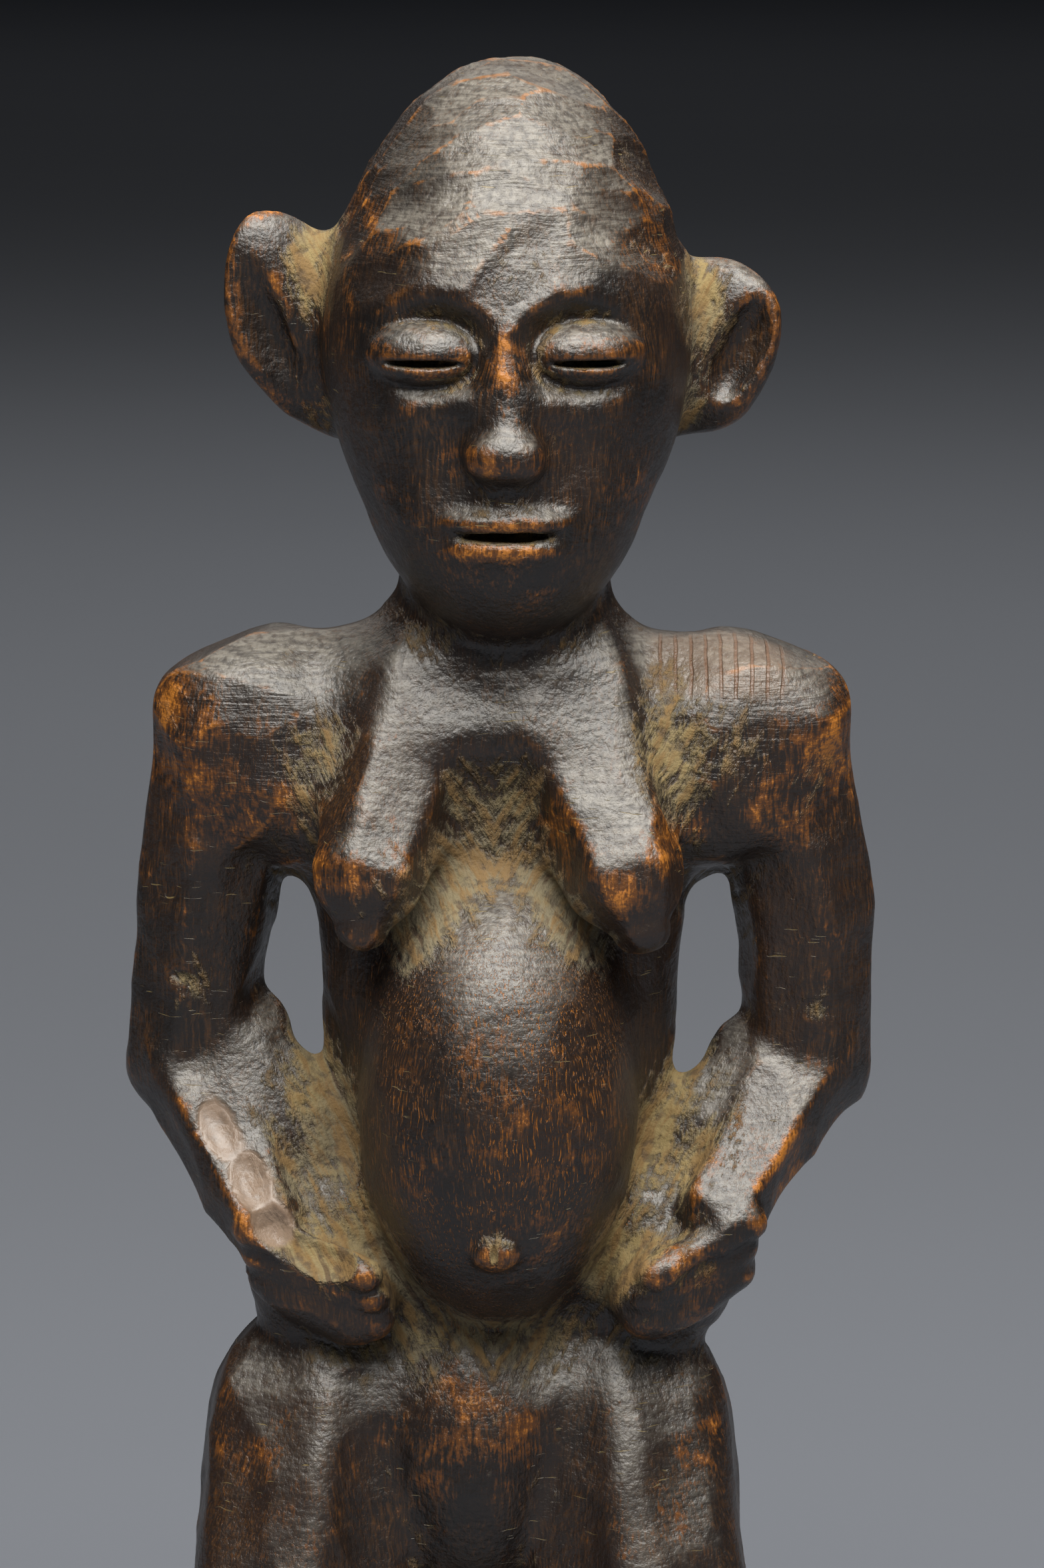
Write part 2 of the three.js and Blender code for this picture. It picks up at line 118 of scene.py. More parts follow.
def hewn(a, b, ra, rb, facing, sides=FLATS):
    """A limb hewn to flat sides along its length. The middle of one side looks along facing."""
    a = vec(*a)
    along = vec(*b) - a
    reach = float(np.linalg.norm(along))
    along = along / reach
    across = vec(*facing)
    across = unit(across - along * (across @ along))
    third = np.cross(along, across)
    angles = np.arange(sides) * 2 * math.pi / sides
    flats = (np.outer(across, np.cos(angles)) + np.outer(third, np.sin(angles))).astype(np.float32)

    def field(p):
        q = p - a
        out = q @ along
        t = np.clip(out / reach, 0, 1)
        flat = (np.maximum(q @ flats, 0) ** WORN).sum(1) ** (1 / WORN)
        return np.hypot(flat, out - t * reach) - (ra + (rb - ra) * t)

    return field


def turned(degrees):
    """The rotation that turns about X, then Y, then Z."""
    x, y, z = (math.radians(v) for v in degrees)
    rx = np.array([[1, 0, 0], [0, math.cos(x), -math.sin(x)], [0, math.sin(x), math.cos(x)]])
    ry = np.array([[math.cos(y), 0, math.sin(y)], [0, 1, 0], [-math.sin(y), 0, math.cos(y)]])
    rz = np.array([[math.cos(z), -math.sin(z), 0], [math.sin(z), math.cos(z), 0], [0, 0, 1]])
    return (rz @ ry @ rx).astype(np.float32)


def egg(centre, radii, turn=(0, 0, 0), power=2):
    """An ellipsoid. A power above 2 squares it off."""
    centre, radii, rotation = vec(*centre), vec(*radii), turned(turn)

    def field(p):
        u = np.abs((p - centre) @ rotation) / radii
        if power == 2:
            near = np.maximum(length(u), SMALLEST)
            slope = length(u / radii) / near
        else:
            near = np.maximum((u**power).sum(1) ** (1 / power), SMALLEST)
            slope = length((u / near[:, None]) ** (power - 1) / radii)
        return (near - 1) / np.maximum(slope, SMALLEST)

    return field


def disc(p):
    """The low oval base, its underside on z = 0."""
    out = (np.hypot(p[:, 0] / BASE_HALF_WIDTH, p[:, 1] / BASE_HALF_DEPTH) - 1) * BASE_HALF_DEPTH + BASE_EDGE
    up = np.abs(p[:, 2] - BASE_HEIGHT / 2) - BASE_HEIGHT / 2 + BASE_EDGE
    corner = np.hypot(np.maximum(out, 0), np.maximum(up, 0))
    return corner + np.minimum(np.maximum(out, up), 0) - BASE_EDGE


def join(soft, a, b):
    h = np.maximum(soft - np.abs(a - b), 0) / soft
    return np.minimum(a, b) - h * h * soft / 4


def cut(soft, body, tool):
    return -join(soft, -body, tool)


def joined(soft, shapes):
    def field(p):
        d = shapes[0](p)
        for shape in shapes[1:]:
            d = join(soft, d, shape(p))
        return d

    return field


chest = egg((2.2, 4, 164), (26, 13, 25))
yoke = limb((-25, 4, 176.5), (30, 4, 176), 10, 10)
waist = egg((2.1, 3, 138), (22.9, 12.5, 34))
loins = egg((-0.5, 2.5, 104), (23, 12.5, 16))
trunk = joined(SOFT["trunk"], [chest, yoke, waist, loins])
belly = egg((1.8, -8, 127.5), (18, 20.5, 29))
collar = egg((1.2, -2.5, 180), (12, 7.8, 7), (-35, 0, 0))
blades = [egg((-13, 10, 165), (12, 8.5, 15)), egg((18, 10, 165), (12, 8.5, 15))]
spine = limb((2.4, 22.5, 176), (0, 18.5, 104), 3.6, 3.6)
hips = egg((-2, 4, 86), (28, 16, 14))
buttocks = [egg((-16, 11, 83), (15.5, 13, 16)), egg((12, 11, 83), (15, 13, 16))]
pelvis = joined(SOFT["hips"], [hips, *buttocks])
skull = joined(SOFT["skull"], [
    egg((HEAD_X + 0.3, 3, 227.5), (23.2, 26.5, 27)),
    egg((HEAD_X + 0.6, 3, 243.5), (13.6, 16.5, 15.5)),
    egg((HEAD_X, -5, 216), (19.8, 19.2, 25)),
    egg((HEAD_X, -9.5, 201), (12.5, 14.5, 13.3)),
])
neck = limb((HEAD_X, 6, 208), (2.5, 5, 172), 12.6, 15)


def eye_of(side):
    x = HEAD_X + side * EYE_WIDTH
    slant = (0, 0, side * 14)
    return {
        "socket": egg((x + side * 0.6, FACE_Y - 3.4, EYE_Z + 0.6), (9.6, 7, 6.6), slant),
        "lid": egg((x + side * 0.4, FACE_Y + 3.6, EYE_Z - 0.2), (7.4, 5.6, 4.3), slant),
        "slit": egg((x + side * 0.4, FACE_Y - 2.4, EYE_Z - 1.1), (6.6, 3.4, 0.55), slant),
        "cheek": egg((HEAD_X + side * 8.2, FACE_Y - 4.2, NOSE_Z + 1), (4.6, 3.6, 8), (0, side * 14, 0)),
    }


eyes = [eye_of(-1), eye_of(1)]
nose = joined(SOFT["bridge"], [
    limb((HEAD_X, FACE_Y + 1.6, BROW_Z - 1), (HEAD_X, FACE_Y - 3, NOSE_Z + 4.5), 2.5, 2.8),
    egg((HEAD_X, FACE_Y - 2.4, NOSE_Z + 3), (5, 4.6, 3.3), (0, 0, 0), 2.4),
])
lips = joined(SOFT["lip"], [
    egg((HEAD_X, FACE_Y + 0.4, MOUTH_Z + 1.7), (8, 4.4, 2)),
    egg((HEAD_X, FACE_Y + 0.8, MOUTH_Z - 1.8), (7, 4.2, 2.1)),
])
mouth_line = egg((HEAD_X, FACE_Y - 3.2, MOUTH_Z), (7.2, 4, 0.6))


def ear_of(side, x, z, half_height, lean, power, hollow):
    turn = (0, side * lean, side * -24)
    return {
        "root": egg((x - side * 5, 6, z - 2), (6, 4.5, half_height - 3)),
        "shell": egg((x, 4.5, z), (9.4, 4, half_height), turn, power),
        "hollow": egg((x + side * 4.6, -1, z + 0.5), (3, hollow, half_height - 4.2), turn),
    }


ears = [ear_of(-1, -23.3, 225.6, 15.2, 24, 1.75, 2.4), ear_of(1, 28.3, 222.4, 11.6, 27, 2.3, 2.9)]


def head(p):
    d = skull(p)
    face = (p[:, 1] < FACE_BACK_Y) & (p[:, 2] < BROW_Z + FACE_ABOVE_BROW) & (d < FACE_NEAR)
    if face.any():
        q, f = p[face], d[face]
        for how, name in ((cut, "socket"), (cut, "cheek"), (join, "lid"), (cut, "slit")):
            for eye in eyes:
                f = how(SOFT[name], f, eye[name](q))
        f = join(SOFT["nose"], f, nose(q))
        f = join(SOFT["lips"], f, lips(q))
        d[face] = cut(SOFT["mouth_line"], f, mouth_line(q))
    for ear in ears:
        for how, name in ((join, "root"), (join, "shell"), (cut, "hollow")):
            d = how(SOFT["ear_" + name], d, ear[name](p))
    return join(SOFT["neck"], d, neck(p))


plate = egg((1.8, -3.9, 175.3), (14, 8.6, 8.6), (-38, 0, 0), 3.2)


def breast_of(flats, facing, top, full, tip):
    strap = hewn(top, full, BREAST["root"], BREAST["full"], facing, flats)
    end = hewn(full, tip, BREAST["full"] - 0.2, BREAST["tip"], facing, flats)
    return joined(SOFT["flats"], [strap, end])


breasts = [
    breast_of(6, (0.25, -1, 0.5), (-8.6, -1.8, 176), (-14.4, -15.6, 158.0), (-15.2, -17.6, 151.8)),
    breast_of(5, (0.05, -1, 0.55), (11.0, -1.8, 176), (18.0, -15.6, 158.0), (20.0, -17.6, 151.6)),
]


def arm_of(shoulder, middle, elbow, wrist, crook_z, palm, finger_root, finger_tip):
    side = math.copysign(1, wrist[0])

    def finger(n):
        out, forward, up = FINGER["step"]
        shift = (-side * out * n, forward * n, up * n)
        root = [c + s for c, s in zip(finger_root, shift)]
        tip = [c + s for c, s in zip(finger_tip, shift)]
        return limb(root, tip, FINGER["root"], FINGER["tip"])

    block_at = (shoulder[0] - side * 1.2, shoulder[1] - 2.2, shoulder[2] - 2.2)
    return {
        "pectoral": egg((shoulder[0] - side * 11, 0, 168), (10, 8.4, 12), (0, 0, 0), 2.6),
        "upper_web": egg((shoulder[0] - side * 9, 8.5, 163), (7, 5, 10)),
        "lower_web": egg((wrist[0] - side * 1.5, 1.5, crook_z - 11.5), (10, 7, 15.5), (0, side * 20, 0)),
        "hand_web": egg((wrist[0] - side * 8, -2, 105), (11, 8.5, 12)),
        "crook": egg((elbow[0] - side * 6.5, 4.5, crook_z), (6.5, 6, 9), (0, side * -20, 0)),
        "block": egg(block_at, (10.4, 9.8, 12.8), (-3, side * 20, 0), 2.8),
        "bones": joined(SOFT["flats"], [
            hewn(shoulder, middle, ARM["shoulder"], ARM["middle"], (side, -1, 0), FLATS + 1),
            hewn(middle, elbow, ARM["middle"], ARM["lower"], (side, -1, 0), FLATS + 1),
            hewn(elbow, wrist, ARM["elbow"], ARM["wrist"], (0, -1, 0.8)),
        ]),
        "hand": egg(palm, (10, 5, 6), (0, side * -28, side * 15), 2.6),
        "fingers": joined(SOFT["finger"], [finger(n) for n in range(FINGER["count"])]),
    }


arms = [
    arm_of(
        shoulder=(-31.6, 4, 174.3), middle=(-35.9, 5, 150), elbow=(-38.2, 6, 130), wrist=(-28.2, -8.5, 112),
        crook_z=131, palm=(-20.5, -9.5, 103.5),
        finger_root=(-28.2, -9.5, 104.5), finger_tip=(-13.5, -13.2, 99.6),
    ),
    arm_of(
        shoulder=(36.9, 4, 173.8), middle=(41.5, 5, 150), elbow=(42.2, 6, 130), wrist=(30.4, -8.5, 113),
        crook_z=127, palm=(25.5, -9.5, 104.5),
        finger_root=(32.2, -9.5, 105.5), finger_tip=(20.5, -13.2, 99.6),
    ),
]


def leg_of(hip, knee, calf, ankle, toe, hip_radius):
    facing = (math.copysign(0.5, hip[0]), -1, 0)
    return joined(SOFT["leg_bones"], [
        hewn(hip, knee, hip_radius, LEG["thigh"], facing, FLATS + 1),
        limb(knee, calf, LEG["knee"], LEG["calf"]),
        limb(calf, ankle, LEG["calf"], LEG["ankle"]),
        limb((ankle[0], HEEL_Y, HEEL_Z), toe, LEG["heel"], LEG["toe"]),
    ])


legs = [
    leg_of((-20.3, 2.5, 82), (-25.5, -10, 53), (-23.5, 1, 36), (-22.5, 5, 20), (-25, -20, 14.5), 16),
    leg_of((17.5, 2.5, 82), (21.6, -10, 53), (19.5, 1, 36), (19, 5, 20), (21.5, -20, 14.5), 15.3),
]
lower_belly = egg((-1.5, -5.5, 80.5), (11.5, 10.5, 18.5))
groins = [
    limb((-16, -16, 94), (-12.8, -21, 62), 2.6, 3.4),
    limb((11.5, -16, 94), (9.4, -21, 62), 2.6, 3.4),
]
navel = egg((1.8, -25, 111.5), (3, 2.4, 2.5))


def group(low, high, *steps):
    return vec(*low), vec(*high), steps


def arm_steps(arm):
    return [(join, name, form) for name, form in arm.items()]


# The forms in the order in which they are carved. Each group has the box outside which it changes
# nothing near the surface, and its steps: how a form acts, how softly, and the form.
STAGES = [
    group(
        (-60, -45, 76), (65, 45, 200),
        (join, "trunk", trunk), *[(join, "blade", blade) for blade in blades], (cut, "spine", spine),
        (join, "belly", belly), (join, "collar", collar),
    ),
    group((-60, -45, 56), (60, 45, 112), (join, "pelvis", pelvis)),
    group((-60, -50, -9), (60, 45, 112), *[(join, "leg", leg) for leg in legs]),
    group(
        (-32, -40, 48), (30, 20, 112),
        (join, "lower_belly", lower_belly), *[(cut, "groin", groin) for groin in groins],
    ),
    group((-62, -35, 82), (2, 32, 200), *arm_steps(arms[0])),
    group((-1, -35, 82), (66, 32, 200), *arm_steps(arms[1])),
    group(
        (-40, -40, 135), (42, 18, 200),
        (join, "plate", plate), *[(join, "breast", breast) for breast in breasts],
    ),
    group((-12, -40, 98), (16, -10, 126), (join, "navel", navel)),
    group((-50, -48, 145), (58, 48, 280), (join, "head", head)),
    group((-60, -60, -20), (60, 60, 32), (join, "base", disc)),
]

# Cuts that are too fine for the solid: the flat on the hand, the navel's cleft, the elbows' creases
FINE_CUTS = [
    (0.4, egg((-27.6, -20.2, 113.6), (13.5, 6.2, 6.2), (-38, 30, 14), 2.6)),
    (0.3, egg((1.5, -28.2, 111.8), (0.55, 2, 2.4))),
    (1.2, limb((-39.5, -3.2, 142.5), (-33.0, -4.4, 140.0), 0.7, 1.1)),
    (1.2, limb((36.5, -4.2, 139.0), (44.5, -3.4, 137.5), 1.0, 0.6)),
]
FINE_CUT_LOW, FINE_CUT_HIGH = vec(-48, -34, 96), vec(52, 2, 150)


def figure(p):
    """The solid's form at the points p: negative inside the wood, positive outside, in mm."""
    d = np.full(len(p), FAR, np.float32)
    for low, high, steps in STAGES:
        near = ((p > low) & (p < high)).all(1)
        if near.any():
            q, part = p[near], d[near]
            for how, soft, form in steps:
                part = how(SOFT[soft], part, form(q))
            d[near] = part
    return d


def carved(p):
    d = figure(p)
    near = ((p > FINE_CUT_LOW) & (p < FINE_CUT_HIGH)).all(1)
    if near.any():
        q, part = p[near], d[near]
        for soft, tool in FINE_CUTS:
            part = cut(soft, part, tool(q))
        d[near] = part
    return d


def in_chunks(field, p, size=60_000):
    return np.concatenate([field(p[i:i + size]) for i in range(0, len(p), size)])


def stretch(coarse, axis, cells):
    """Coarse samples along one axis, drawn out to fine ones in straight lines."""
    count = (coarse.shape[axis] - 1) * cells + 1
    at = np.arange(count) / cells
    low = np.minimum(at.astype(int), coarse.shape[axis] - 2)
    part = (at - low).astype(np.float32)
    shape = [1, 1, 1]
    shape[axis] = count
    part = part.reshape(shape)
    return np.take(coarse, low, axis) * (1 - part) + np.take(coarse, low + 1, axis) * part


def fine_surface():
    """Points and quads of the form's surface: coarse values first, exact ones only near the surface."""
    step = FINE * COARSE_CELLS
    counts = np.ceil((GRID_HIGH - GRID_LOW) / step).astype(int) + 1
    axes = [GRID_LOW[i] + step * np.arange(counts[i]) for i in range(3)]
    nodes = np.stack(np.meshgrid(*axes, indexing="ij"), -1).reshape(-1, 3).astype(np.float32)
    values = in_chunks(carved, nodes).reshape(counts)
    values = np.minimum(values, 3 * step)
    for axis in range(3):
        values = stretch(values, axis, COARSE_CELLS)
    near = np.nonzero(np.abs(values) < BAND)
    points = (np.stack(near, 1) * FINE + GRID_LOW).astype(np.float32)
    values[near] = in_chunks(carved, points)
    grid = openvdb.FloatGrid(float(BAND))
    grid.copyFromArray(values)
    points, quads = grid.convertToQuads(isovalue=0.0)
    return (points * FINE + GRID_LOW).astype(np.float32), quads.astype(np.int64)


# Four directions that lean evenly to all sides
LEANING = np.array([[1, -1, -1], [-1, -1, 1], [-1, 1, -1], [1, 1, 1]], np.float32)


def slope(field, p, e=0.15):
    """The field's value at p and the direction in which it grows fastest."""
    around = [in_chunks(field, p + way * e) for way in LEANING]
    grown = sum(value[:, None] * way for value, way in zip(around, LEANING))
    return sum(around) / 4, grown / np.maximum(length(grown), 1e-6)[:, None]


def bulge(p, reach):
    """How sharply the form bulges at p: the sum of its two curvatures, per mm, felt over that reach."""
    e = reach / math.sqrt(3)
    around = sum(in_chunks(figure, p + way * e) for way in LEANING) / 4
    return 2 * (around - in_chunks(figure, p)) / e**2


# Large odd numbers that scatter a grid cell's place into a random value
SCATTER = (73856093, 19349663, 83492791)
SCATTER_AGAIN, SCATTER_SEED, SEED_SHIFT = 1274126177, 7919, 7.13


def noise(p, size, seed):
    """Smooth noise between -1 and 1 with lumps of about that size in mm."""
    q = p / size + seed * SEED_SHIFT
    cell = np.floor(q).astype(np.int64)
    f = (q - cell).astype(np.float32)
    f = f * f * (3 - 2 * f)
    total = np.zeros(len(p), np.float32)
    for dx in (0, 1):
        for dy in (0, 1):
            for dz in (0, 1):
                x, y, z = ((cell[:, i] + step) * SCATTER[i] for i, step in enumerate((dx, dy, dz)))
                h = x ^ y ^ z
                h = (h ^ (h >> 13)) * SCATTER_AGAIN + seed * SCATTER_SEED
                h = (h ^ (h >> 16)) & 0xFFFF
                weight = (
                    (f[:, 0] if dx else 1 - f[:, 0]) * (f[:, 1] if dy else 1 - f[:, 1])
                    * (f[:, 2] if dz else 1 - f[:, 2])
                )
                total += weight * (h / 32767.5 - 1).astype(np.float32)
    return total


def ramp(low, high, value):
    t = np.clip((value - low) / (high - low), 0, 1)
    return t * t * (3 - 2 * t)


# Where each kind of knife work is: spacing of the cuts, the radius of the tool along and across its
# stroke, the stroke's direction, and how unevenly the cuts are tilted. All in mm but the tilt.
WORK = {
    "crown": (4.8, 42, 10, (1, 0, 0.12), 0.095),
    "face": (6.0, 70, 50, (0.3, 0, 1), 0.015),
    "nape": (7.5, 60, 26, (0.2, 0, 1), 0.045),
    "ear": (5.0, 60, 26, (0, 0, 1), 0.045),
    "shoulder": (7.0, 70, 26, (1, 0.2, 0), 0.070),
    "arm": (8.0, 90, 26, (0, 0, 1), 0.050),
    "hand": (5.0, 50, 20, (1, 0, -0.4), 0.060),
    "breast": (7.0, 80, 40, (0.5, 0, 1), 0.045),
    "belly": (9.0, 150, 70, (0, 0, 1), 0.022),
    "trunk": (8.0, 80, 36, (0.2, 0, 1), 0.050),
    "leg": (8.5, 100, 30, (0, 0, 1), 0.045),
    "base": (8.0, 120, 50, (1, 1, 0), 0.030),
}
KINDS = list(WORK)
CANDIDATES = 60_000  # points among which the cuts' places are drawn
OVERLAP = 0.62  # how far a cut reaches, as a share of the spacing
UNEVEN = 0.12  # how much deeper than the others a cut may be
SPREAD = (0.78, 1.12)  # how far apart the cuts are, as shares of the spacing
SWERVE = 0.22  # how far the strokes turn from their direction
PINCH = 0.05  # keeps a cut on its own side of the wood
MIDDLE = vec(0, 0, HEIGHT / 2)


def regions(p):
    """The kind of work at each point."""
    head_d, neck_d = skull(p), neck(p)
    side_arms = np.minimum(arms[0]["bones"](p), arms[1]["bones"](p))
    blocks = np.minimum(arms[0]["block"](p), arms[1]["block"](p)) - 0.8
    hands = np.minimum.reduce([f(p) for arm in arms for f in (arm["hand"], arm["fingers"])])
    shells = np.minimum(ears[0]["shell"](p), ears[1]["shell"](p))
    above, ahead = p[:, 2] > BROW_Z + 5, p[:, 1] < -1
    choices = {
        "crown": np.where(above, head_d, FAR),
        "face": np.where(~above & ahead, head_d - 3, FAR),
        "nape": np.where(~above & ~ahead, np.minimum(head_d, neck_d), FAR),
        "ear": shells - 0.5,
        "shoulder": blocks,
        "arm": side_arms,
        "hand": hands - 0.5,
        "breast": np.minimum(breasts[0](p), breasts[1](p)) - 0.5,
        "belly": belly(p),
        "trunk": trunk(p) + 0.5,
        "leg": np.minimum(np.minimum(legs[0](p), legs[1](p)), pelvis(p)),
        "base": disc(p),
    }
    return np.argmin(np.stack([choices[kind] for kind in KINDS], 1), 1)


def strokes(p, normal, region, free, rng):
    """Cuts spread over the surface. Each is a row of ten numbers that give its depth at any point."""
    order = rng.permutation(np.nonzero(free)[0])[:CANDIDATES]
    place = p[order]
    unused = np.ones(len(order), bool)
    rows = []
    for i, point in enumerate(place):
        if not unused[i]:
            continue
        gap, along, across, direction, tilt = WORK[KINDS[region[order[i]]]]
        reach = gap * rng.uniform(*SPREAD)
        near = np.nonzero(np.abs(place - point).max(1) < reach)[0]
        unused[near[length(place[near] - point) < reach]] = False
        n = normal[order[i]].astype(float)
        d = np.array(direction) + rng.normal(0, SWERVE, 3)
        t = unit(d - n * (d @ n))
        b = np.cross(n, t)
        depth = (gap * OVERLAP) ** 2 / (2 * across) + rng.uniform(0, UNEVEN)
        g = t * rng.normal(0, tilt) + b * rng.normal(0, tilt)
        a = np.outer(t, t) / (2 * along) + np.outer(b, b) / (2 * across) + np.outer(n, n) * PINCH
        c = (point - MIDDLE).astype(float)
        linear = g + 2 * a @ c
        constant = depth - g @ c - c @ a @ c
        squares = (-a[0, 0], -a[1, 1], -a[2, 2])
        products = (-2 * a[0, 1], -2 * a[0, 2], -2 * a[1, 2])
        rows.append([*squares, *products, *linear, constant])
    return np.array(rows, np.float32)


def depth_of(p, rows, size=4000):
    """How deep the deepest cut goes at each point, and which one it is."""
    x, y, z = (p - MIDDLE).T
    terms = np.stack([x * x, y * y, z * z, x * y, x * z, y * z, x, y, z, np.ones(len(p), np.float32)], 1)
    best = np.empty(len(p), np.float32)
    which = np.empty(len(p), int)
    for start in range(0, len(p), size):
        part = terms[start:start + size] @ rows.T
        index = part.argmax(1)
        best[start:start + size] = part[np.arange(len(part)), index]
        which[start:start + size] = index
    return best, which


HOLLOW_REACH, DEEP_REACH = 2.2, 6.5  # how far out from the surface a point feels what closes it in
# The shares of the near and the far hollow, and the most that they come to, for cuts and for dirt
CAVITY_FOR_CUTS = (1.2, 0.6, 1)
CAVITY_FOR_DIRT = (0.8, 0.75, 1.4)


def closed_in(p, normal, near_share, far_share, most):
    """How closed in each point is: 0 in the open, most in a deep hollow."""
    near, far = (1 - in_chunks(figure, p + normal * away) / away for away in (HOLLOW_REACH, DEEP_REACH))
    return np.clip(near * near_share + far * far_share, 0, most)


# Scoops cut into the forearm on -X after the patina had formed: centre, half length, half width, depth
SCOOPS = [
    ((-33.6, 122.9), 4.4, 2.5, 0.95),
    ((-29.6, 117.5), 4.3, 2.8, 1.15),
    ((-26.8, 112.6), 3.8, 2.7, 0.95),
]
SCOOP_LINE = unit(np.array([6.8, -10.4]))
SCOOP_FACING = 0.1  # the normal's Y up to which a place can be scooped


def scoop_depth(p, normal):
    depth = np.zeros(len(p))
    for (x, z), half_length, half_width, most in SCOOPS:
        q = p[:, [0, 2]] - np.array([x, z])
        along = q @ SCOOP_LINE / half_length
        across = q @ np.array([-SCOOP_LINE[1], SCOOP_LINE[0]]) / half_width
        depth = np.maximum(depth, most * (1 - along**2 - across**2))
    return np.where(normal[:, 1] < SCOOP_FACING, depth, 0)


def signed_volume(p, quads):
    """Above 0 where the quads face outward."""
    a, b, c, d = (p[quads[:, i]].astype(float) for i in range(4))
    halves = np.cross(b, c) + np.cross(c, d)
    return float(np.einsum("ij,ij->i", a, halves).sum()) / 6


UNDERSIDE = 1.0  # below this height no cut is placed
CUTTABLE = 0.5  # how closed in a cut's place may be
FADING = (0.25, 0.8)  # how closed in a place is where the cuts begin to fade and where they are faint
FAINT = 0.25  # the share of their depth that cuts keep there
DEEPEST = 1.2  # of a cut
SWELLS = [(14, 1, 0.22), (5, 2, 0.09)]  # the wood's own unevenness: size, seed, depth
PITS = {"size": 2.2, "seed": 3, "open": 0.05, "hollow": 0.16}  # depths in the open, and more in hollows
FOOT = (0.6, 2.0)  # the heights between which the relief sets in above the flat underside


def build_mesh():
    """The figure with its relief, and the rows of its cuts."""
    rng = np.random.default_rng(SEED)
    points, quads = fine_surface()
    value, normal = slope(carved, points)
    points = points - np.clip(value, -FINE, FINE)[:, None] * normal
    points = points - np.clip(in_chunks(carved, points), -FINE, FINE)[:, None] * normal
    cavity = closed_in(points, normal, *CAVITY_FOR_CUTS)
    free = (points[:, 2] > UNDERSIDE) & (cavity < CUTTABLE)
    rows = strokes(points, normal, regions(points), free, rng)
    best, _ = depth_of(points, rows)
    calm = 1 - ramp(*FADING, cavity)
    amount = np.clip(best, 0, DEEPEST) * (FAINT + (1 - FAINT) * calm)
    for size, seed, depth in SWELLS:
        amount = amount + noise(points, size, seed) * depth
    amount = amount + noise(points, PITS["size"], PITS["seed"]) * (PITS["open"] + PITS["hollow"] * (1 - calm))
    amount = np.maximum(amount, scoop_depth(points, normal)) * ramp(*FOOT, points[:, 2])
    moved = points - normal * amount[:, None].astype(np.float32)
    moved[:, 2] = np.maximum(moved[:, 2], 0)
    mesh = bpy.data.meshes.new("figure_fine")
    mesh.from_pydata((moved * MM).tolist(), [], quads.tolist())
    if signed_volume(moved, quads) < 0:
        mesh.flip_normals()
    piece = bpy.data.objects.new("figure_visual", mesh)
    bpy.context.scene.collection.objects.link(piece)
    thin = piece.modifiers.new("thin", "DECIMATE")
    thin.ratio = min(1.0, KEEP_TRIANGLES / (2 * len(quads)))
    thin.use_collapse_triangulate = True
    evaluated = piece.evaluated_get(bpy.context.evaluated_depsgraph_get())
    thinned = bpy.data.meshes.new_from_object(evaluated)
    piece.modifiers.remove(thin)
    piece.data = thinned
    bpy.data.meshes.remove(mesh)
    thinned.name = "figure_visual"
    return piece, rows


# Spots seen from the front, as x, z, radius and strength.
# Where hands and time have rubbed the patina through to orange-brown wood:
RUBBED = [
    (-39, 173, 9, 0.70), (-34, 167, 9, 0.62), (-25, 166, 7, 0.45), (46, 172, 9, 0.75), (40, 166, 9, 0.55),
    (-20, 159, 8, 0.42), (-10, 162, 4, 0.40), (11, 163, 5, 0.55), (17, 158, 5, 0.40), (24, 163, 6, 0.55),
    (-3, 138, 10, 0.25), (6, 128, 13, 0.30), (-7, 121, 6, 0.50), (6, 113, 9, 0.35), (-1, 85, 11, 0.55),
    (-14, 86, 6, 0.35), (-30, 84, 6, 0.40), (28, 84, 6, 0.35), (36, 119, 7, 0.45), (28, 104, 6, 0.30),
    (-22, 214, 7, 0.35), (3, 224, 4, 0.50), (3, 196, 9, 0.30), (-12, 205, 6, 0.30), (19, 205, 6, 0.35),
    (-27, 78, 9, 0.20), (24, 76, 9, 0.20), (-16, 239, 7, 0.40), (22, 238, 7, 0.40), (-18, 228, 6, 0.35),
]
# Where dirt lies thick:
DUSTY = [
    (1.5, 166, 9, 0.75), (-4, 156, 11, 0.75), (8, 154, 9, 0.60), (-24, 123, 10, 0.85), (-18, 109, 8, 0.80),
    (25, 121, 10, 0.80), (20, 107, 9, 0.85), (1, 97, 14, 0.55), (-21, 233, 7, 0.80), (26, 229, 7, 0.80),
    (-21, 172, 8, 0.60), (26, 173, 10, 1.00), (-18, 216, 6, 0.4), (24, 216, 6, 0.4), (1.8, 112.5, 3, 1.2),
    (-37, 141, 5, 0.55), (41, 138, 5, 0.50),
]
# Painted shade, where the dirt is held back so the wood stays dark: under the arms and low between the
# thighs:
SHADED = [(-29, 158, 7, 0.7), (29, 159, 7, 0.7), (-14, 78, 12, 0.5), (11, 78, 12, 0.5)]
SPOT_EDGE, SPOT_HEART = 1.3, 0.3  # in shares of the radius: where a spot begins and where it is full


def spots(p, listed):
    total = np.zeros(len(p))
    for x, z, radius, strength in listed:
        away = np.hypot(p[:, 0] - x, p[:, 2] - z) / radius
        total = np.maximum(total, strength * ramp(SPOT_EDGE, SPOT_HEART, away))
    return total


# The row of thin cuts on the right shoulder's top: each pair is where it fades out and where it is whole
COMB = {
    "from_x": (20.5, 22), "to_x": (39.5, 37.5), "from_z": (178.5, 180), "to_z": (188, 186), "to_y": (3, 0),
}


def combed(p):
    """How much of the row of thin cuts a point has."""
    x, y, z = p.T
    level = ramp(*COMB["from_z"], z) * ramp(*COMB["to_z"], z)
    return ramp(*COMB["from_x"], x) * ramp(*COMB["to_x"], x) * level * ramp(*COMB["to_y"], y)


SHORT_EDGE = 0.2  # in mm: shorter edges count as this long


